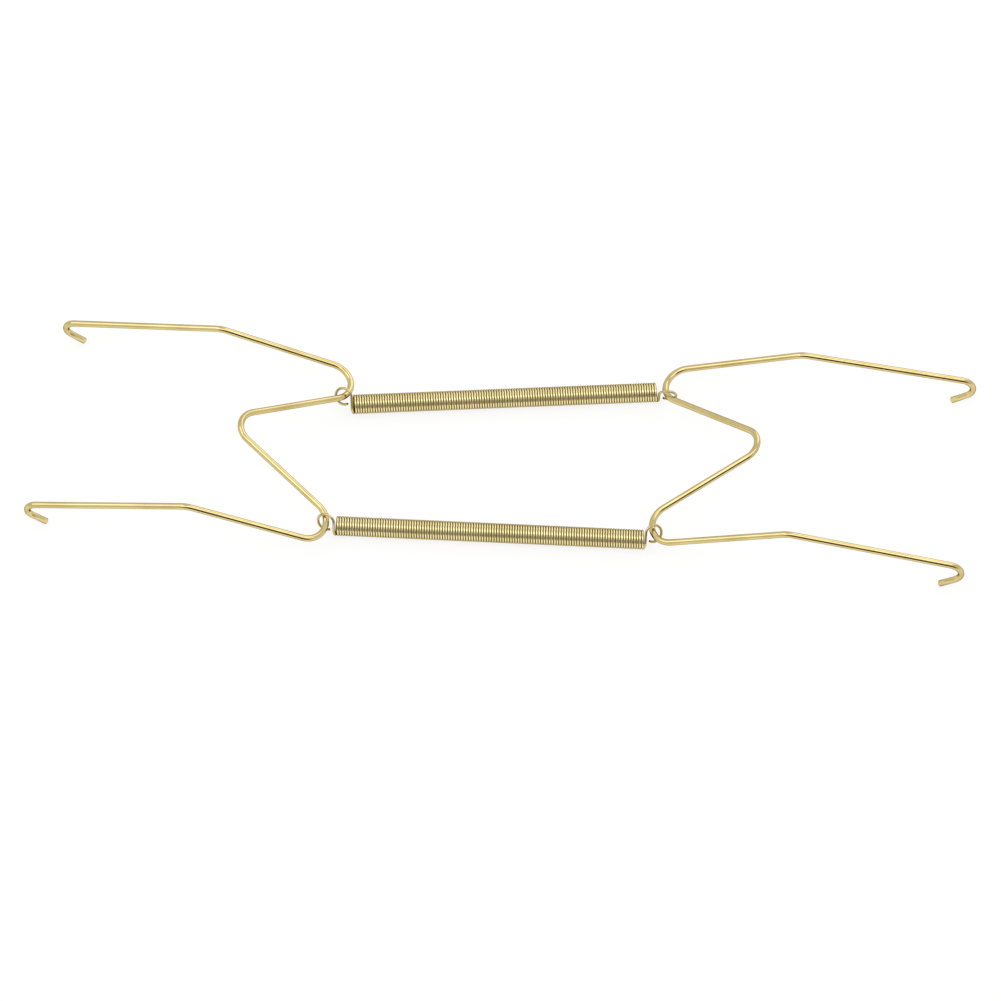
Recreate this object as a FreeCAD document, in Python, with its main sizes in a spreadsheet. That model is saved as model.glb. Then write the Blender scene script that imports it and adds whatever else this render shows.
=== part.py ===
import FreeCAD, Part
import math
import os

# A wire plate hanger, lying on its claws. Two frames of stiff wire, each bent to a W with a claw
# at both ends, are joined by two close-wound springs, whose end loops are threaded on the frames.
# X runs along the hanger, Y from the front spring to the rear one, and Z up from the surface it lies on.
# The sizes are in millimetres and degrees.
SIZES = {
    # The frames' wire, and the W measured between the sharp corners of its centre line. A claw is
    # measured from the end of its bend to the cut end.
    "frame_wire": 1.6,
    "corner_spacing": 52.2,
    "apex_depth": 45.0,
    "inner_arm": 49.5,
    "left_outer_arm": 45.3,
    "right_outer_arm": 50.3,
    "claw_straight": 4.4,
    # How the arms leave the plane of the V, and each other.
    "inner_arm_fall": 2.9,
    "arm_splay": 1.3,
    "kink_angle": 27.1,
    "claw_fold": 135.0,
    # Bend radii, on the centre line.
    "apex_radius": 4.8,
    "corner_radius": 5.4,
    "kink_radius": 6.0,
    "left_claw_radius": 2.6,
    "right_claw_radius": 3.6,
    # The springs: close-wound, so that a turn takes one wire's width.
    "spring_wire": 0.65,
    "coil_diameter": 5.0,
    "coil_turns": 120,
    "loop_step": 0.2,
    "loop_lead": 80.0,
    "loop_turn": 300.0,
    # How the frames and the springs lie: the height of the frames' corners above the surface, the way
    # that the left frame faces, and the way from the rear spring's left loop to its right one.
    "seat_height": 5.1,
    "left_heading": -1.6,
    "rear_heading": 7.15,
    # Each loop's place round its corner from the middle of the bend towards the V, its roll about
    # the spring, and its swing out of the spring's line towards the wire that it holds.
    "rear_left_seat": 57,
    "rear_left_roll": 37,
    "rear_left_swing": 25,
    "rear_right_seat": 46,
    "rear_right_roll": -8,
    "rear_right_swing": -8,
    "front_left_seat": 23,
    "front_left_roll": 26,
    "front_left_swing": 21,
    "front_right_seat": -12.0,
    "front_right_roll": 42,
    "front_right_swing": 25,
}
UP = FreeCAD.Vector(0, 0, 1)
ACROSS = FreeCAD.Vector(0, 1, 0)
ALONG = FreeCAD.Vector(1, 0, 0)

doc = FreeCAD.newDocument("plate_hanger")
sheet = doc.addObject("Spreadsheet::Sheet", "sizes")
for row, (alias, value) in enumerate(SIZES.items(), start=1):
    sheet.set(f"A{row}", alias)
    sheet.set(f"B{row}", str(value))
    sheet.setAlias(f"B{row}", alias)
doc.recompute()


def size(alias):
    return float(getattr(sheet, alias))


def angle(alias):
    return math.radians(size(alias))


def unit(vector):
    return FreeCAD.Vector(vector).normalize()


def round_wire(name, path, wire_alias):
    """A round wire swept along a path of straight runs and tangent arcs."""
    spine = doc.addObject("Part::Feature", name + "_path")
    spine.Shape = path
    section = doc.addObject("Part::Circle", name + "_section")
    section.setExpression("Radius", f"sizes.{wire_alias} / 2")
    first = path.OrderedEdges[0]
    heading = first.tangentAt(first.FirstParameter)
    section.Placement = FreeCAD.Placement(path.OrderedVertexes[0].Point, FreeCAD.Rotation(UP, heading))
    sweep = doc.addObject("Part::Sweep", name)
    sweep.Sections = [section]
    sweep.Spine = (spine, [f"Edge{i + 1}" for i in range(len(path.Edges))])
    sweep.Solid = True
    return sweep


def corner_bend(before, corner, after, radius):
    """A bend that rounds a corner: its centre, the ways out to the corner and along, half its turn."""
    back = unit(before - corner)
    ahead = unit(after - corner)
    half_opening = back.getAngle(ahead) / 2
    inward = unit(back + ahead)
    centre = corner + inward * (radius / math.sin(half_opening))
    return centre, inward * -1, unit(ahead - back), math.pi / 2 - half_opening


def bend_point(bend, radius, turn):
    centre, outward, onward, _ = bend
    return centre + (outward * math.cos(turn) + onward * math.sin(turn)) * radius


def bent_path(corners, radii):
    """Straight runs between corners, each corner rounded by a tangent arc of its radius."""
    edges = []
    last = corners[0]
    for before, corner, after, radius in zip(corners, corners[1:], corners[2:], radii):
        bend = corner_bend(before, corner, after, radius)
        half_turn = bend[3]
        start, middle, end = [bend_point(bend, radius, turn) for turn in (-half_turn, 0, half_turn)]
        edges.append(Part.LineSegment(last, start).toShape())
        edges.append(Part.Arc(start, middle, end).toShape())
        last = end
    edges.append(Part.LineSegment(last, corners[-1]).toShape())
    return Part.Wire(edges)


class Frame:
    """One W of wire in its own axes: the V's plane is level, and the apex and claws point to -X."""

    def __init__(self, side, rear_hand):
        self.side = side
        self.claw_radius = size(side + "_claw_radius")
        fall = -angle("inner_arm_fall")
        outer_fall = fall - angle("kink_angle")
        claw_fall = outer_fall - angle("claw_fold")
        kink = self.step((0, 0), fall, size("inner_arm"))
        claw = self.step(kink, outer_fall, size(side + "_outer_arm"))
        claw_bend = self.claw_radius * math.tan(angle("claw_fold") / 2)
        tip = self.step(claw, claw_fall, claw_bend + size("claw_straight"))
        self.arm = [self.arm_point(*place) for place in ((0, 0), kink, claw, tip)]
        self.apex = FreeCAD.Vector(-size("apex_depth"), 0, 0)
        # The frame stands on the lower rim of its claws' cut ends.
        self.foot = self.arm_point(*self.step(tip, claw_fall + math.pi / 2, size("frame_wire") / 2))
        self.seats = {"rear": self.seat("rear", rear_hand), "front": self.seat("front", -rear_hand)}

    def step(self, start, heading, length):
        return start[0] + length * math.cos(heading), start[1] + length * math.sin(heading)

    def arm_point(self, reach, rise):
        splay = angle("arm_splay")
        aside = size("corner_spacing") / 2 + reach * math.sin(splay)
        return FreeCAD.Vector(-reach * math.cos(splay), aside, rise)

    def path(self):
        mirrored = [FreeCAD.Vector(point.x, -point.y, point.z) for point in self.arm]
        radii = [self.claw_radius, size("kink_radius"), size("corner_radius")]
        corners = self.arm[::-1] + [self.apex] + mirrored
        return bent_path(corners, radii + [size("apex_radius")] + radii[::-1])

    def seat(self, row, hand):
        """Where a loop sits on the corner at +Y (hand 1) or -Y (hand -1)."""
        radius = size("corner_radius")
        bend = corner_bend(self.arm[1], self.arm[0], self.apex, radius)
        point = bend_point(bend, radius, angle(f"{row}_{self.side}_seat"))
        return FreeCAD.Vector(point.x, hand * point.y, point.z)

    def lie(self, heading):
        """Turned to a heading about the middle of its seats, and tilted until the claws touch down."""
        hinge = (self.seats["rear"] + self.seats["front"]) * 0.5
        out = hinge.x - self.foot.x
        rise = self.foot.z - hinge.z
        tilt = math.asin(-size("seat_height") / math.hypot(out, rise)) - math.atan2(rise, out)
        turn = FreeCAD.Rotation(UP, heading) * FreeCAD.Rotation(ACROSS, math.degrees(tilt))
        return FreeCAD.Placement(UP * size("seat_height") - turn.multVec(hinge), turn)


class Loop:
    """A spring's end loop, from the spring's end, with the spring along X: outward is -1 or 1."""

    def __init__(self, name, outward, seat_z):
        roll = angle(name + "_roll")
        swing = angle(name + "_swing")
        self.mean_radius = (size("coil_diameter") - size("spring_wire")) / 2
        self.axis = ALONG * outward
        self.out = FreeCAD.Vector(0, -math.cos(roll), math.sin(roll))
        self.tangent = FreeCAD.Vector(0, math.sin(roll), math.cos(roll))
        self.reach = self.axis * math.cos(swing) - self.out * math.sin(swing)
        # The stem is as long as brings the middle of the loop to the height of its seat.
        lift = self.mean_radius * (1 - math.sin(swing))
        self.stem = (seat_z - size("coil_diameter") / 2 - lift * math.sin(roll)) / math.cos(roll)

    def middle(self):
        start = self.axis * size("loop_step") + self.out * self.mean_radius + self.tangent * self.stem
        return start + self.reach * self.mean_radius

    def path(self):
        coil_end = self.axis * size("loop_step")
        leads = [angle("loop_lead") * share for share in (-1, -0.5, 0)]
        leaving = [self.around(coil_end, self.out, lead) for lead in leads]
        turns = [angle("loop_turn") * share for share in (0, 0.5, 1)]
        ring = [self.around(self.middle(), self.reach * -1, turn) for turn in turns]
        return Part.Wire([
            Part.Arc(*leaving).toShape(),
            Part.LineSegment(leaving[-1], ring[0]).toShape(),
            Part.Arc(*ring).toShape(),
        ])

    def around(self, centre, zero, turn):
        return centre + (zero * math.cos(turn) + self.tangent * math.sin(turn)) * self.mean_radius


def coil(name):
    """The close-wound body of a spring, along X from the origin: a tube with a ridge for each turn."""
    wire = size("spring_wire")
    crest = size("coil_diameter") / 2
    groove = crest - wire / 2
    bore = crest - wire
    outline = [(0, bore), (0, groove)]
    for turn in range(coil_turns()):
        outline += [((turn + 0.5) * wire, crest), ((turn + 1) * wire, groove)]
    outline.append((coil_length(), bore))
    profile = doc.addObject("Part::Polygon", name + "_profile")
    profile.Nodes = [FreeCAD.Vector(along, aside, 0) for along, aside in outline]
    profile.Close = True
    body = doc.addObject("Part::Revolution", name)
    body.Source = profile
    body.Axis = ALONG
    body.Solid = True
    return body


def coil_turns():
    return round(size("coil_turns"))


def coil_length():
    return coil_turns() * size("spring_wire")


def spring_span(name, left_seat, right_seat):
    """From the middle of a spring's left loop to that of its right one, with the spring along X."""
    left = Loop(name + "_left", -1, left_seat.z)
    right = Loop(name + "_right", 1, right_seat.z)
    return ALONG * coil_length() + right.middle() - left.middle()


def spring(name, left_seat, right_seat):
    """A spring whose loops lie round two seats on the frames."""
    left = Loop(name + "_left", -1, left_seat.z)
    right = Loop(name + "_right", 1, right_seat.z)
    left_loop = round_wire(name + "_left_loop", left.path(), "spring_wire")
    right_loop = round_wire(name + "_right_loop", right.path(), "spring_wire")
    right_loop.Placement = FreeCAD.Placement(ALONG * coil_length(), FreeCAD.Rotation())
    whole = doc.addObject("Part::MultiFuse", name + "_spring")
    whole.Shapes = [coil(name + "_coil"), left_loop, right_loop]
    heading = way(right_seat - left_seat) - way(spring_span(name, left_seat, right_seat))
    turn = FreeCAD.Rotation(UP, math.degrees(heading))
    whole.Placement = FreeCAD.Placement(left_seat - turn.multVec(left.middle()), turn)
    return whole


def way(vector):
    return math.atan2(vector.y, vector.x)


def plan_length(vector):
    return math.hypot(vector.x, vector.y)


def meeting_point(first, first_reach, second, second_reach):
    """Seen from above, the point at given distances from two others, to the left of the way between."""
    between = second - first
    apart = plan_length(between)
    along = (first_reach**2 - second_reach**2 + apart**2) / (2 * apart)
    aside = math.sqrt(first_reach**2 - along**2)
    turn = FreeCAD.Rotation(UP, math.degrees(way(between)))
    return first + turn.multVec(FreeCAD.Vector(along, aside, 0))


# Both frames are bent alike, and the right one is turned end for end.
left, right = Frame("left", 1), Frame("right", -1)
left_wire = round_wire("left_frame", left.path(), "frame_wire")
right_wire = round_wire("right_frame", right.path(), "frame_wire")
left_lie = left.lie(size("left_heading"))
left_seats = {row: left_lie.multVec(seat) for row, seat in left.seats.items()}

# Seen from above, the frames and springs are four links in a ring. The left frame and the rear spring
# have their headings, and the right frame lies where the front spring, unstretched, then reaches it.
facing_back = right.lie(180)
loose_seats = {row: facing_back.multVec(seat) for row, seat in right.seats.items()}
reach = {row: plan_length(spring_span(row, left_seats[row], loose_seats[row])) for row in ("rear", "front")}
rear_way = FreeCAD.Rotation(UP, size("rear_heading")).multVec(ALONG)
rear_seat = left_seats["rear"] + rear_way * reach["rear"]
rear_seat.z = loose_seats["rear"].z
right_link = loose_seats["front"] - loose_seats["rear"]
front_seat = meeting_point(rear_seat, plan_length(right_link), left_seats["front"], reach["front"])
heading = 180 + math.degrees(way(front_seat - rear_seat) - way(right_link))
right_lie = right.lie(heading)
right_lie.move(rear_seat - right_lie.multVec(right.seats["rear"]))
right_seats = {row: right_lie.multVec(seat) for row, seat in right.seats.items()}

left_wire.Placement = left_lie
right_wire.Placement = right_lie
springs = [spring(row, left_seats[row], right_seats[row]) for row in ("rear", "front")]
doc.recompute()

# The origin lies on the surface, under the middle of the hanger's box.
parts = [left_wire, right_wire] + springs
box = FreeCAD.BoundBox()
for part in parts:
    box.add(part.Shape.optimalBoundingBox(False, False))
to_origin = FreeCAD.Vector(-box.Center.x, -box.Center.y, 0)
for part in parts:
    part.Label = part.Name
    part.Placement = FreeCAD.Placement(part.Placement.Base + to_origin, part.Placement.Rotation)
doc.recompute()

for item in doc.Objects:
    if "Invalid" in item.State or "Error" in item.State:
        raise RuntimeError(f"{item.Name} failed: {item.State}")
for part in parts:
    if part.Shape.isNull() or not part.Shape.isValid() or len(part.Shape.Solids) != 1:
        raise RuntimeError(f"{part.Label} is not one sound solid")

os.makedirs("parts", exist_ok=True)
for part in parts:
    part.Shape.exportStep(f"parts/{part.Label}.step")
    print(f"{part.Label}: {part.Shape.Volume:.1f} mm3, {part.Shape.optimalBoundingBox(False, False)}")
for row in ("rear", "front"):
    print(f"{row} seats: {left_seats[row] + to_origin} {right_seats[row] + to_origin}")
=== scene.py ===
# %% [markdown]
# # A wire plate hanger
# Two frames of stiff brass wire grip a plate by their claws, and two close-wound springs pull the frames
# together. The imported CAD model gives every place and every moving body, so this lesson loads it first and
# then dresses it: each wire is drawn again as a smooth, finished mesh where its solid lies.

# %% Load the frame
import math

import bpy
from mathutils import Matrix, Vector


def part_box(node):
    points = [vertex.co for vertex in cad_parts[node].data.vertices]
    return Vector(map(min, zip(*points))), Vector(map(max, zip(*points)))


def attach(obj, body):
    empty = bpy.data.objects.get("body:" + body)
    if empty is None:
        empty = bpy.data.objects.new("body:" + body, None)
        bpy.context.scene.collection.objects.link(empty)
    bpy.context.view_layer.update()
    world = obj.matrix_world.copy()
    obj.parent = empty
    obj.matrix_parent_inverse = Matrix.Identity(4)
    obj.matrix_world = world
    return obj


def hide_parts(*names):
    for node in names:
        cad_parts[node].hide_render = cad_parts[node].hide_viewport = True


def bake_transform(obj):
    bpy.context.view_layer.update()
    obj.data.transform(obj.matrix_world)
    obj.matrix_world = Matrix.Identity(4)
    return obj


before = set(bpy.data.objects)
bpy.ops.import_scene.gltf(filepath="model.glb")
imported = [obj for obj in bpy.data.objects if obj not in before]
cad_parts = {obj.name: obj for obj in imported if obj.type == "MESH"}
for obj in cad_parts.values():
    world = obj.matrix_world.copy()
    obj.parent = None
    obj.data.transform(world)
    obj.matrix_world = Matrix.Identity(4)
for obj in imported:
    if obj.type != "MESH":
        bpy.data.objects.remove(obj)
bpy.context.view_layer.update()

# %% [markdown]
# ## The camera
# The hanger lies on a table and is seen from the front, rather steeply, from far off. A long lens keeps the
# two frames almost the same size. The camera is placed by angles round a point between the springs, which
# is easier to read and to change than a position and three rotations.

# %% Camera
MM = 0.001
IMAGE_WIDTH = 1001
PIXELS_PER_METRE = 3952
LOOK_AT = Vector((0.21, -11.68, 0.0)) * MM
VIEW_TURN = math.radians(-4.56)
VIEW_RISE = math.radians(56.94)
VIEW_ROLL = math.radians(-1.91)
VIEW_DISTANCE = 1500 * MM
SENSOR_WIDTH = 36
FAR_LIMIT = 100


def camera_axes():
    """The camera's right, up and backward directions, as the columns of a matrix."""
    level = Vector((math.cos(VIEW_TURN), -math.sin(VIEW_TURN), 0))
    ahead = Vector((math.sin(VIEW_TURN), math.cos(VIEW_TURN), 0))
    above = ahead * math.sin(VIEW_RISE) + Vector((0, 0, math.cos(VIEW_RISE)))
    back = -ahead * math.cos(VIEW_RISE) + Vector((0, 0, math.sin(VIEW_RISE)))
    right = level * math.cos(VIEW_ROLL) - above * math.sin(VIEW_ROLL)
    up = level * math.sin(VIEW_ROLL) + above * math.cos(VIEW_ROLL)
    return Matrix((right, up, back)).transposed()


camera_data = bpy.data.cameras.new("photo_camera")
camera = bpy.data.objects.new("photo_camera", camera_data)
bpy.context.scene.collection.objects.link(camera)
axes = camera_axes()
camera.matrix_world = Matrix.Translation(LOOK_AT + axes.col[2] * VIEW_DISTANCE) @ axes.to_4x4()
camera_data.sensor_width = SENSOR_WIDTH
camera_data.lens = SENSOR_WIDTH * PIXELS_PER_METRE * VIEW_DISTANCE / IMAGE_WIDTH
camera_data.clip_end = FAR_LIMIT
bpy.context.scene.camera = camera
print("camera lens:", round(camera_data.lens, 1), "mm")

# %% [markdown]
# ## Nodes, by a few helpers
# Trees of nodes are long to write out line by line. One helper adds a node, sets its options, and either
# sets each of its sockets or links it, so that a tree reads from its input to its output. Two more wrap the
# nodes that come up most: a step of arithmetic, and a mix of two colours or values.


# %% Node helpers
def add(tree, kind, sockets=None, **options):
    """A node with its options, and each named or numbered socket set or linked."""
    node = tree.nodes.new(kind)
    for name, value in options.items():
        setattr(node, name, value)
    for name, value in (sockets or {}).items():
        if isinstance(value, bpy.types.NodeSocket):
            tree.links.new(value, node.inputs[name])
        else:
            node.inputs[name].default_value = value
    return node


def math_node(tree, operation, first, second=0.0):
    """The result of one step of arithmetic."""
    return add(tree, "ShaderNodeMath", {0: first, 1: second}, operation=operation).outputs[0]


def mix(tree, share, first, second, data_type="RGBA"):
    """From the first colour or value to the second, by a share from 0 to 1."""
    sockets = {"Factor": share, "A": first, "B": second}
    return add(tree, "ShaderNodeMix", sockets, data_type=data_type).outputs["Result"]


print("node helpers ready")

# %% [markdown]
# ## The table and the light
# Polished wire shows little but what stands round it. A white table below, a pale room and lamps overhead,
# at the left and behind give it bright ridges. A darker place in front, a little to the right, draws a dark
# line along the wires that face it. The table is made white for the camera and for reflections by a glow,
# which leaves the soft shadow under the wires as it is.

# %% Table
TABLE_WIDTH = 30.0
TABLE_GLOW = 0.815
TABLE_COLOUR = (0.20, 0.20, 0.20, 1)


def table_material():
    """White to the camera and in reflections, by a glow, and matt under the lamps."""
    material = bpy.data.materials.new("white_table")
    material.use_nodes = True
    tree = material.node_tree
    tree.nodes.clear()
    rays = add(tree, "ShaderNodeLightPath").outputs
    seen = math_node(tree, "MAXIMUM", rays["Is Camera Ray"], rays["Is Glossy Ray"])
    seen = math_node(tree, "MAXIMUM", seen, rays["Is Transmission Ray"])
    glow = add(tree, "ShaderNodeEmission", {"Strength": math_node(tree, "MULTIPLY", seen, TABLE_GLOW)})
    matt = add(tree, "ShaderNodeBsdfDiffuse", {"Color": TABLE_COLOUR})
    both = add(tree, "ShaderNodeAddShader", {0: glow.outputs[0], 1: matt.outputs[0]})
    add(tree, "ShaderNodeOutputMaterial", {"Surface": both.outputs[0]})
    return material


half = TABLE_WIDTH / 2
table_mesh = bpy.data.meshes.new("table")
table_corners = [(-half, -half, 0), (half, -half, 0), (half, half, 0), (-half, half, 0)]
table_mesh.from_pydata(table_corners, [], [(0, 1, 2, 3)])
table_mesh.materials.append(table_material())
table = bpy.data.objects.new("table", table_mesh)
bpy.context.scene.collection.objects.link(table)
print("table:", TABLE_WIDTH, "m wide")

# %% Lamps
LAMPS = {
    "overhead_lamp": {"place": (0.15, -0.28, 1.0), "spread": (1.3, 0.4), "watts": 2.0},
    "window_lamp": {"place": (0.52, 0.90, 0.60), "spread": (0.8, 1.2), "watts": 2.1},
    "left_lamp": {"place": (-0.63, -0.05, 1.02), "spread": (0.8, 0.8), "watts": 2.0},
}


def lamp(name, place, spread, watts):
    """A soft rectangular lamp that points at the hanger."""
    data = bpy.data.lights.new(name, "AREA")
    data.shape = "RECTANGLE"
    data.size, data.size_y = spread
    data.energy = watts
    made = bpy.data.objects.new(name, data)
    made.location = place
    made.rotation_euler = (-Vector(place)).to_track_quat("-Z", "Y").to_euler()
    bpy.context.scene.collection.objects.link(made)


for name, setting in LAMPS.items():
    lamp(name, **setting)
print("lamps:", list(LAMPS))

# %% Room
ROOM_LIGHT = (0.78, 0.78, 0.78, 1)
ROOM_DARK = (0.030, 0.018, 0.004, 1)
DARK_WAY = (0.32, -0.88, 0.34)
DARK_SHAPE = (0.60, 1.0, 0.72)
DARK_REACH = (0.22, 0.47)


def light_room():
    """An even, pale room with a dark place in front, wider than high."""
    world = bpy.data.worlds.new("room")
    world.use_nodes = True
    tree = world.node_tree
    tree.nodes.clear()
    looking = add(tree, "ShaderNodeTexCoord").outputs["Generated"]
    aside = add(tree, "ShaderNodeVectorMath", {0: looking, 1: DARK_WAY}, operation="SUBTRACT").outputs[0]
    shaped = add(tree, "ShaderNodeVectorMath", {0: aside, 1: DARK_SHAPE}, operation="MULTIPLY").outputs[0]
    away = add(tree, "ShaderNodeVectorMath", {0: shaped}, operation="LENGTH").outputs["Value"]
    near, far = DARK_REACH
    reach = {"Value": away, "From Min": near, "From Max": far}
    share = add(tree, "ShaderNodeMapRange", reach, interpolation_type="SMOOTHSTEP").outputs[0]
    sky = add(tree, "ShaderNodeBackground", {"Color": mix(tree, share, ROOM_DARK, ROOM_LIGHT)})
    add(tree, "ShaderNodeOutputWorld", {"Surface": sky.outputs[0]})
    bpy.context.scene.world = world


light_room()
bpy.context.scene.view_settings.view_transform = "Standard"
print("room:", bpy.context.scene.world.name, "with a dark place towards", DARK_WAY)

# %% [markdown]
# ## Drawn brass
# The wire was pulled through a die, which leaves fine lines along it, and its bright finish has dulled a
# little in patches. Both wires share this, so it is one shader group, placed in each material with its own
# colours. It reads attributes that each wire's mesh carries: the length along the wire and the place round
# its section, so that a line stays a line through every bend, the cut ends, which show raw metal, and on a
# spring the painted shade in the grooves between its turns, with one even, darker tone on its loops. A
# frame has no such attribute, so it has no painted shade.

# %% Lines and patches
STREAKS_ROUND = 9.0
STREAKS_PER_METRE = 45.0
LINE_DETAIL = 4.0
PATCHES_PER_METRE = 130.0
PATCH_DETAIL = 3.0
PATCH_RANGE = (0.40, 0.72)


def carried(tree, name, output="Fac"):
    """An attribute that the wire's mesh carries."""
    return add(tree, "ShaderNodeAttribute", attribute_name=name).outputs[output]


def drawn_lines(tree):
    """Noise that changes fast round the wire and slowly along it."""
    around = {0: carried(tree, "section", "Vector"), "Scale": STREAKS_ROUND}
    drawn = add(tree, "ShaderNodeVectorMath", around, operation="SCALE").outputs[0]
    flat = add(tree, "ShaderNodeSeparateXYZ", {0: drawn}).outputs
    lengthwise = math_node(tree, "MULTIPLY", carried(tree, "along"), STREAKS_PER_METRE)
    spot = add(tree, "ShaderNodeCombineXYZ", {"X": flat["X"], "Y": flat["Y"], "Z": lengthwise})
    fine = {"Vector": spot.outputs[0], "Scale": 1.0, "Detail": LINE_DETAIL}
    return add(tree, "ShaderNodeTexNoise", fine).outputs["Fac"]


def dull_patches(tree):
    """From 0 where the finish is bright to 1 where it is dull, in broad patches."""
    spot = add(tree, "ShaderNodeTexCoord").outputs["Object"]
    broad = {"Vector": spot, "Scale": PATCHES_PER_METRE, "Detail": PATCH_DETAIL}
    patches = add(tree, "ShaderNodeTexNoise", broad).outputs["Fac"]
    low, high = PATCH_RANGE
    return add(tree, "ShaderNodeMapRange", {"Value": patches, "From Min": low, "From Max": high}).outputs[0]


print("lines per metre:", STREAKS_PER_METRE, "patches per metre:", PATCHES_PER_METRE)

# %% Drawn brass shader group
GROUP_INPUTS = {
    "Bright": "Color",
    "Dull": "Color",
    "Raw end": "Color",
    "Groove shade and loop tone": "Color",
    "Gloss": "Float",
    "Dullness": "Float",
}
GROUP_OUTPUTS = {"Color": "Color", "Roughness": "Float", "Height": "Float"}
LINE_MEAN, LINE_WEIGHT = 0.5, 0.8
DULL_ROUGHNESS, CUT_ROUGHNESS = 0.12, 0.25


def drawn_brass_group():
    """The colour, the roughness and the fine relief of drawn brass wire."""
    tree = bpy.data.node_groups.new("drawn_brass", "ShaderNodeTree")
    for name, kind in GROUP_INPUTS.items():
        tree.interface.new_socket(name, in_out="INPUT", socket_type="NodeSocket" + kind)
    for name, kind in GROUP_OUTPUTS.items():
        tree.interface.new_socket(name, in_out="OUTPUT", socket_type="NodeSocket" + kind)
    given = tree.nodes.new("NodeGroupInput").outputs
    lines = drawn_lines(tree)
    uneven = math_node(tree, "MULTIPLY", math_node(tree, "SUBTRACT", lines, LINE_MEAN), LINE_WEIGHT)
    worn = math_node(tree, "ADD", dull_patches(tree), uneven)
    worn = math_node(tree, "MULTIPLY", worn, given["Dullness"])
    share = add(tree, "ShaderNodeClamp", {"Value": worn}).outputs[0]
    cut = carried(tree, "cut_end")
    metal = given["Bright"]
    # The dark colour that a spring's carried share mixes in is painted shade in the grooves between its
    # turns, and an even darker tone on its loops.
    for part, colour in ((share, "Dull"), (carried(tree, "groove_shade_loop_tone"), "Groove shade and loop tone"), (cut, "Raw end")):
        metal = mix(tree, part, metal, given[colour])
    rough = given["Gloss"]
    for part, more in ((share, DULL_ROUGHNESS), (cut, CUT_ROUGHNESS)):
        rough = math_node(tree, "ADD", rough, math_node(tree, "MULTIPLY", part, more))
    out = tree.nodes.new("NodeGroupOutput").inputs
    for name, value in (("Color", metal), ("Roughness", rough), ("Height", lines)):
        tree.links.new(value, out[name])
    return tree


drawn_brass = drawn_brass_group()
print("shader group:", drawn_brass.name)

# %% Brass materials
WIRE_FINISHES = {
    "frame_wire": {
        "Bright": (0.750, 0.615, 0.290, 1),
        "Dull": (0.58, 0.45, 0.16, 1),
        "Raw end": (0.30, 0.22, 0.12, 1),
        "Gloss": 0.09,
        "Dullness": 0.6,
    },
    "spring_wire": {
        "Bright": (0.96, 0.84, 0.46, 1),
        "Dull": (0.80, 0.68, 0.31, 1),
        "Raw end": (0.28, 0.22, 0.13, 1),
        # Painted shade for the grooves between the turns, also mixed in part into the loops for their darker
        # tone.
        "Groove shade and loop tone": (0.24, 0.155, 0.015, 1),
        "Gloss": 0.09,
        "Dullness": 0.6,
    },
}
LINE_DEPTH = 0.004 * MM
EDGE_TINT = (0.20, 0.12, 0.03, 1)


def brass(name):
    """Polished metal in the colours of one wire, deeper in tone towards its edges."""
    material = bpy.data.materials.new(name)
    material.use_nodes = True
    tree = material.node_tree
    tree.nodes.clear()
    finish = add(tree, "ShaderNodeGroup", WIRE_FINISHES[name], node_tree=drawn_brass).outputs
    bump = add(tree, "ShaderNodeBump", {"Height": finish["Height"], "Distance": LINE_DEPTH})
    metal = add(tree, "ShaderNodeBsdfPrincipled", {
        "Base Color": finish["Color"],
        "Roughness": finish["Roughness"],
        "Normal": bump.outputs["Normal"],
        "Metallic": 1.0,
        "Specular Tint": EDGE_TINT,
    })
    add(tree, "ShaderNodeOutputMaterial", {"Surface": metal.outputs[0]})
    return material


materials = {name: brass(name) for name in WIRE_FINISHES}
print("materials:", list(materials))

# %% [markdown]
# ## A round wire along any path
# Frames and springs are both round wire that follows a path, so they share one Geometry Nodes tree. It
# sweeps a circle along the path, closes the ends, eases the rim of each cut a little, and stores the
# attributes that the brass reads. Sweeping by nodes keeps the section true through every bend. The trees
# that use it end alike, with a plain mesh in its material.


# %% Geometry tree helpers
def geometry_tree(name, inputs):
    """An empty tree with its named inputs and one mesh to put out."""
    tree = bpy.data.node_groups.new(name, "GeometryNodeTree")
    for label, kind in inputs.items():
        tree.interface.new_socket(label, in_out="INPUT", socket_type="NodeSocket" + kind)
    tree.interface.new_socket("Wire", in_out="OUTPUT", socket_type="NodeSocketGeometry")
    return tree, tree.nodes.new("NodeGroupInput").outputs, tree.nodes.new("NodeGroupOutput").inputs


def store(tree, geometry, name, value, data_type="FLOAT"):
    """Keeps a field on the points of a curve or a mesh under a name."""
    sockets = {"Geometry": geometry, "Name": name, "Value": value}
    return add(tree, "GeometryNodeStoreNamedAttribute", sockets, data_type=data_type).outputs[0]


print("geometry tree helpers ready")

# %% Round wire tree
END_EASE = 0.14
SHARP_ANGLE = math.radians(50)


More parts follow.
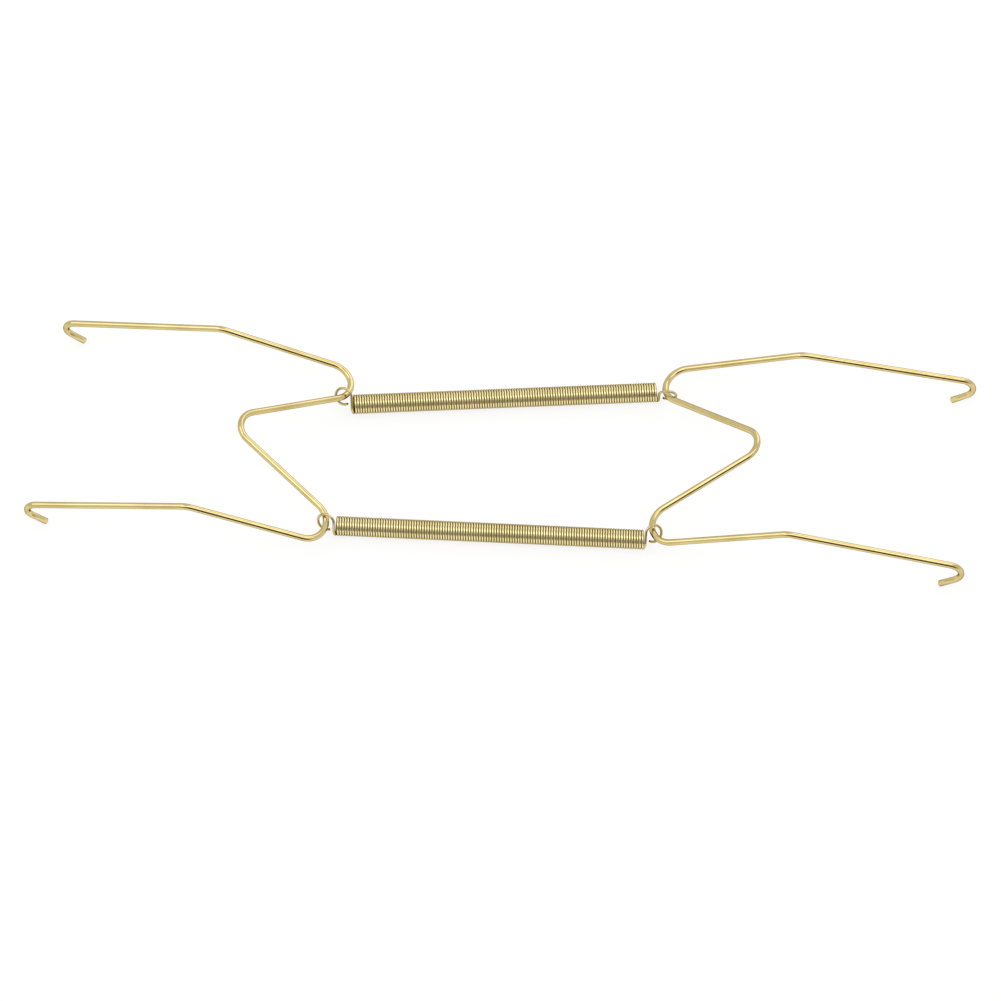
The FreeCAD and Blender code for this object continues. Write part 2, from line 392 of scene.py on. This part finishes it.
def round_wire_tree():
    """A circle swept along a path, with closed ends and the attributes of the brass."""
    inputs = {"Path": "Geometry", "Thickness": "Float", "Sides": "Int"}
    tree, given, out = geometry_tree("round_wire", inputs)
    radius = math_node(tree, "DIVIDE", given["Thickness"], 2.0)
    ends = add(tree, "GeometryNodeCurveEndpointSelection").outputs[0]
    length = add(tree, "GeometryNodeSplineParameter").outputs["Length"]
    path = store(tree, given["Path"], "along", length)
    path = store(tree, path, "cut_end", ends)
    circle = add(tree, "GeometryNodeCurvePrimitiveCircle", {"Resolution": given["Sides"], "Radius": radius})
    spot = add(tree, "GeometryNodeInputPosition").outputs[0]
    outward = add(tree, "ShaderNodeVectorMath", {0: spot}, operation="NORMALIZE").outputs[0]
    section = store(tree, circle.outputs["Curve"], "section", outward, "FLOAT_VECTOR")
    eased = math_node(tree, "SUBTRACT", 1.0, math_node(tree, "MULTIPLY", ends, END_EASE))
    sweep = {"Curve": path, "Profile Curve": section, "Scale": eased, "Fill Caps": True}
    wire = add(tree, "GeometryNodeCurveToMesh", sweep).outputs[0]
    edge_angle = add(tree, "GeometryNodeInputMeshEdgeAngle").outputs["Unsigned Angle"]
    sharp = math_node(tree, "GREATER_THAN", edge_angle, SHARP_ANGLE)
    creased = {"Geometry": wire, "Selection": sharp, "Shade Smooth": False}
    wire = add(tree, "GeometryNodeSetShadeSmooth", creased, domain="EDGE").outputs[0]
    tree.links.new(wire, out["Wire"])
    return tree


round_wire = round_wire_tree()
print("tree:", round_wire.name)


# %% Using the round wire
def sweep_wire(tree, given, path):
    """The round wire along a path, with the thickness and sides that the tree was given."""
    sockets = {"Path": path, "Thickness": given["Thickness"], "Sides": given["Sides"]}
    return add(tree, "GeometryNodeGroup", sockets, node_tree=round_wire).outputs[0]


def put_out(tree, given, out, wire):
    """Ends a tree with a plain mesh in its material."""
    plain = add(tree, "GeometryNodeRealizeInstances", {"Geometry": wire}).outputs[0]
    coated = add(tree, "GeometryNodeSetMaterial", {"Geometry": plain, "Material": given["Material"]})
    tree.links.new(coated.outputs[0], out["Wire"])


print("helpers for", round_wire.name, "ready")

# %% [markdown]
# ## From a tree to a finished piece
# A tree works as a modifier on an object whose mesh is only a path. Its inputs are set by each socket's
# identifier, before the object is first evaluated. The result is then kept as a plain mesh, and the modifier
# is removed. The mesh is turned and moved, not the object, so that each piece stays at the origin as the
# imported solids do.


# %% Grow a piece
def path_mesh(name, runs, bend_radii=None):
    """Runs of points joined by edges. Each point may carry the radius of its bend."""
    points = []
    edges = []
    for run in runs:
        first = len(points)
        points += run
        edges += [(i, i + 1) for i in range(first, len(points) - 1)]
    mesh = bpy.data.meshes.new(name)
    mesh.from_pydata(points, edges, [])
    if bend_radii:
        mesh.attributes.new("bend_radius", "FLOAT", "POINT").data.foreach_set("value", bend_radii)
    return mesh


def grow(name, tree, path, values):
    """The plain mesh that a tree makes from a path, as an object."""
    piece = bpy.data.objects.new(name, path)
    bpy.context.scene.collection.objects.link(piece)
    modifier = piece.modifiers.new(tree.name, "NODES")
    modifier.node_group = tree
    for item in tree.interface.items_tree:
        if item.name in values:
            modifier[item.identifier] = values[item.name]
    graph = bpy.context.evaluated_depsgraph_get()
    mesh = bpy.data.meshes.new_from_object(piece.evaluated_get(graph), depsgraph=graph)
    piece.modifiers.clear()
    piece.data = mesh
    return piece


print("ready to grow pieces")


# %% Place a piece
def middle(low, high):
    """The point halfway between two corners."""
    return (Vector(low) + Vector(high)) / 2


def place(piece, node, turn):
    """Turns a piece's mesh and moves the middle of its box to the middle of the node's."""
    mesh = piece.data
    mesh.transform(turn)
    corners = [[pick(vertex.co[i] for vertex in mesh.vertices) for i in range(3)] for pick in (min, max)]
    shift = Matrix.Translation(middle(*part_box(node)) - middle(*corners))
    mesh.transform(shift)
    sides = [round((high - low) / MM, 2) for low, high in zip(*corners)]
    print(piece.name, "box:", sides, "mm, faces:", len(mesh.polygons))
    return shift @ turn


print("ready to place pieces")

# %% [markdown]
# ## The wire frames
# Each frame is one length of wire bent to a W: claw, arm, kink, arm, corner, V, and the same back again. A
# bender thinks of straight runs and of the radius at each corner, and so does the tree: the script gives
# sharp corners with a radius each, and Fillet Curve rounds them.

# %% Corners of a frame
CORNER_SPACING = 52.2 * MM
APEX_DEPTH = 45.0 * MM
INNER_ARM = 49.5 * MM
CLAW_STRAIGHT = 4.4 * MM
END_STEP = 0.12 * MM
INNER_FALL, KINK, CLAW_FOLD = (math.radians(angle) for angle in (2.9, 27.1, 135.0))
ARM_SPLAY = math.radians(1.3)
APEX_RADIUS, CORNER_RADIUS, KINK_RADIUS = 4.8 * MM, 5.4 * MM, 6.0 * MM


def arm_corners(outer_arm, claw_radius):
    """The corner, the kink, the claw and two points at the tip, with the apex towards -X."""
    claw = CLAW_STRAIGHT + claw_radius * math.tan(CLAW_FOLD / 2)
    heading = -INNER_FALL
    places = [(0.0, 0.0)]
    for length, fold in ((INNER_ARM, KINK), (outer_arm, CLAW_FOLD), (claw - END_STEP, 0), (END_STEP, 0)):
        reach, rise = places[-1]
        places.append((reach + length * math.cos(heading), rise + length * math.sin(heading)))
        heading -= fold
    aside, inward = math.sin(ARM_SPLAY), -math.cos(ARM_SPLAY)
    return [Vector((reach * inward, CORNER_SPACING / 2 + reach * aside, rise)) for reach, rise in places]


def frame_path(name, outer_arm, claw_radius):
    """One arm from its tip, the V, and the other arm back to its tip."""
    arm = arm_corners(outer_arm, claw_radius)
    other_arm = [Vector((point.x, -point.y, point.z)) for point in arm]
    corners = arm[::-1] + [Vector((-APEX_DEPTH, 0, 0))] + other_arm
    arm_radii = [0, 0, claw_radius, KINK_RADIUS, CORNER_RADIUS]
    return path_mesh(name, [corners], arm_radii + [APEX_RADIUS] + arm_radii[::-1])


print("inner arm:", INNER_ARM, "m, apex depth:", APEX_DEPTH, "m")


# %% Bent wire tree
def bent_wire_tree():
    """Rounds the corners of a path and sweeps the wire along it."""
    inputs = {"Path": "Geometry", "Thickness": "Float", "Sides": "Int", "Bend steps": "Int"}
    tree, given, out = geometry_tree("bent_wire", inputs | {"Material": "Material"})
    path = add(tree, "GeometryNodeMeshToCurve", {"Mesh": given["Path"]}).outputs[0]
    radius = add(tree, "GeometryNodeInputNamedAttribute", {"Name": "bend_radius"}).outputs["Attribute"]
    bends = {"Curve": path, "Count": given["Bend steps"], "Radius": radius}
    bent = add(tree, "GeometryNodeFilletCurve", bends, mode="POLY").outputs[0]
    put_out(tree, given, out, sweep_wire(tree, given, bent))
    return tree


bent_wire = bent_wire_tree()
print("tree:", bent_wire.name)

# %% Frames
FRAME_WIRE = 1.6 * MM
FRAME_SIDES, BEND_STEPS = 32, 20
# Headings and tilts are in degrees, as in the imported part.
FRAMES = {
    "left_frame": {"outer_arm": 45.3 * MM, "claw_radius": 2.6 * MM, "heading": -1.6, "tilt": 19.907},
    "right_frame": {"outer_arm": 50.3 * MM, "claw_radius": 3.6 * MM, "heading": 180.629, "tilt": 21.541},
}


def make_frame(node, outer_arm, claw_radius, heading, tilt):
    """One frame's wire, tilted and turned as it lies on the table."""
    values = {
        "Thickness": FRAME_WIRE,
        "Sides": FRAME_SIDES,
        "Bend steps": BEND_STEPS,
        "Material": materials["frame_wire"],
    }
    wire = grow(node + "_wire", bent_wire, frame_path(node, outer_arm, claw_radius), values)
    turn = Matrix.Rotation(math.radians(heading), 4, "Z") @ Matrix.Rotation(math.radians(tilt), 4, "Y")
    place(wire, node, turn)
    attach(wire, node)
    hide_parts(node)


for node, lie in FRAMES.items():
    make_frame(node, **lie)

# %% [markdown]
# ## The springs
# A spring is one wire wound so close that each turn lies against the next, with its ends bent up into loops.
# Curve Spiral winds the coil, and the script gives the path of each loop: the last part of a turn that
# leaves the coil, a straight stem, and most of a ring. The turns are real, because they catch the light one
# by one.

# %% Paths of the end loops
SPRING_WIRE = 0.65 * MM
COIL_RADIUS = 2.175 * MM
COIL_TURNS = 119
COIL_LENGTH = (COIL_TURNS + 1) * SPRING_WIRE
AXIS_HEIGHT = 2.5 * MM
LOOP_STEP = 0.2 * MM
LOOP_LEAD, LOOP_TURN = math.radians(80), math.radians(300)
LEAD_STEPS, RING_STEPS = 10, 36


def ease(share):
    """From 0 to 1, level at both ends."""
    return share * share * (3 - 2 * share)


def loop_path(coil_end, outward, roll, swing, seat):
    """From the coil to the loop's tip, with the spring along X and its axis at the origin."""
    out = Vector((0, -math.cos(roll), math.sin(roll)))
    rise = Vector((0, math.sin(roll), math.cos(roll)))
    reach = Vector((outward * math.cos(swing), 0, 0)) - out * math.sin(swing)
    lift = COIL_RADIUS * (1 - math.sin(swing))
    stem = (seat - AXIS_HEIGHT - lift * math.sin(roll)) / math.cos(roll)
    points = []
    for i in range(LEAD_STEPS + 1):
        share = i / LEAD_STEPS
        turn = LOOP_LEAD * (share - 1)
        clear = (LOOP_STEP + SPRING_WIRE / 2) * ease(share) - SPRING_WIRE / 2
        along = Vector((coil_end + outward * clear, 0, 0))
        points.append(along + (out * math.cos(turn) + rise * math.sin(turn)) * COIL_RADIUS)
    centre = points[-1] + rise * stem + reach * COIL_RADIUS
    for i in range(RING_STEPS + 1):
        turn = LOOP_TURN * i / RING_STEPS
        points.append(centre + (rise * math.sin(turn) - reach * math.cos(turn)) * COIL_RADIUS)
    return points


print("coil length:", round(COIL_LENGTH / MM, 2), "mm")

# %% [markdown]
# ## Painted shade in the grooves
# The grooves between a spring's turns are painted dark as shade, and the crests of its turns stay bright.
# How deep a point lies is known from its distance to the spring's axis, so the tree works that out while the
# spring still lies along X and stores it for the brass to read. The loops stand away from the axis and get
# one even, darker tone.

# %% Painted groove shade of a spring
GROOVE_TOP, GROOVE_BOTTOM = 0.5, 0.2
# How far the loops go towards the dark painted-shade colour, for one even, darker tone.
LOOP_TONE = 0.45
ACROSS = (0, 1, 1)


def groove_shade_field(tree, given):
    """Painted shade, from 0 at the crest of a turn to 1 where it meets the next, and an even tone on the
    loops.
    """
    spot = add(tree, "GeometryNodeInputPosition").outputs[0]
    aside = add(tree, "ShaderNodeVectorMath", {0: spot, 1: ACROSS}, operation="MULTIPLY").outputs[0]
    from_axis = add(tree, "ShaderNodeVectorMath", {0: aside}, operation="LENGTH").outputs["Value"]
    above = math_node(tree, "SUBTRACT", from_axis, given["Coil radius"])
    in_wires = math_node(tree, "DIVIDE", above, given["Thickness"])
    groove = {"Value": in_wires, "From Min": GROOVE_TOP, "From Max": GROOVE_BOTTOM}
    depth = add(tree, "ShaderNodeMapRange", groove).outputs[0]
    wound = add(tree, "GeometryNodeInputNamedAttribute", {"Name": "wound"}).outputs["Attribute"]
    return mix(tree, wound, LOOP_TONE, depth, "FLOAT")


print("groove from", GROOVE_TOP, "to", GROOVE_BOTTOM, "wires above the middle of a turn")

# %% [markdown]
# ## Winding a spring
# Curve Spiral winds upwards, so the tree lays the coil along X. The coil and the two loops are welded where
# their ends meet, which makes one path, and the round wire is swept along it from tip to tip.

# %% Close-wound spring tree
WELD = 0.02 * MM
QUARTER_TURN = math.pi / 2
SPRING_INPUTS = {
    "Loops": "Geometry",
    "Thickness": "Float",
    "Sides": "Int",
    "Turns": "Int",
    "Coil radius": "Float",
    "Phase": "Vector",
    "Steps": "Int",
    "Material": "Material",
}


def close_wound_tree():
    """Winds a coil, welds it to its loops and sweeps the wire along both."""
    tree, given, out = geometry_tree("close_wound_spring", SPRING_INPUTS)
    spiral = add(tree, "GeometryNodeCurveSpiral", {
        "Resolution": given["Steps"],
        "Rotations": given["Turns"],
        "Start Radius": given["Coil radius"],
        "End Radius": given["Coil radius"],
        "Height": math_node(tree, "MULTIPLY", given["Turns"], given["Thickness"]),
        "Reverse": True,
    }).outputs[0]
    phased = add(tree, "GeometryNodeTransform", {"Geometry": spiral, "Rotation": given["Phase"]}).outputs[0]
    inset = add(tree, "ShaderNodeCombineXYZ", {"X": math_node(tree, "DIVIDE", given["Thickness"], 2.0)})
    lying = {"Geometry": phased, "Translation": inset.outputs[0], "Rotation": (0, QUARTER_TURN, 0)}
    coil = add(tree, "GeometryNodeTransform", lying).outputs[0]
    coil = add(tree, "GeometryNodeCurveToMesh", {"Curve": coil}).outputs[0]
    coil = store(tree, coil, "wound", 1.0)
    joined = add(tree, "GeometryNodeJoinGeometry")
    tree.links.new(coil, joined.inputs[0])
    tree.links.new(given["Loops"], joined.inputs[0])
    welded = add(tree, "GeometryNodeMergeByDistance", {"Geometry": joined.outputs[0], "Distance": WELD})
    path = add(tree, "GeometryNodeMeshToCurve", {"Mesh": welded.outputs[0]}).outputs[0]
    # Stores the painted shade of the grooves, and the loops' even tone, for the brass to read.
    wire = store(tree, sweep_wire(tree, given, path), "groove_shade_loop_tone", groove_shade_field(tree, given))
    put_out(tree, given, out, wire)
    return tree


close_wound = close_wound_tree()
print("tree:", close_wound.name)

# %% Springs
COIL_SIDES, STEPS_PER_TURN = 12, 32
# Angles are in degrees and seats in millimetres above the table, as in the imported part.
SPRINGS = {
    "rear_spring": {
        "yaw": 9.596,
        "left": {"roll": 37, "swing": 25, "seat": 5.414},
        "right": {"roll": -8, "swing": -8, "seat": 5.345},
    },
    "front_spring": {
        "yaw": 3.768,
        "left": {"roll": 26, "swing": 21, "seat": 4.786},
        "right": {"roll": 42, "swing": 25, "seat": 4.856},
    },
}


def end_loop(coil_end, outward, roll, swing, seat):
    """The path of one loop, from its angles in degrees and its seat in millimetres."""
    return loop_path(coil_end, outward, math.radians(roll), math.radians(swing), seat * MM)


def make_spring(node, yaw, left, right):
    """One spring's wire, turned as it lies and placed where the imported spring lies."""
    loops = [end_loop(0, -1, **left), end_loop(COIL_LENGTH, 1, **right)]
    start = LOOP_LEAD - math.radians(left["roll"]) - QUARTER_TURN
    values = {
        "Thickness": SPRING_WIRE,
        "Sides": COIL_SIDES,
        "Turns": COIL_TURNS,
        "Coil radius": COIL_RADIUS,
        "Phase": (0, 0, start),
        "Steps": STEPS_PER_TURN,
        "Material": materials["spring_wire"],
    }
    wire = grow(node + "_wire", close_wound, path_mesh(node, loops), values)
    lie = place(wire, node, Matrix.Rotation(math.radians(yaw), 4, "Z"))
    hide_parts(node)
    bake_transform(wire)


for node, lie in SPRINGS.items():
    make_spring(node, **lie)
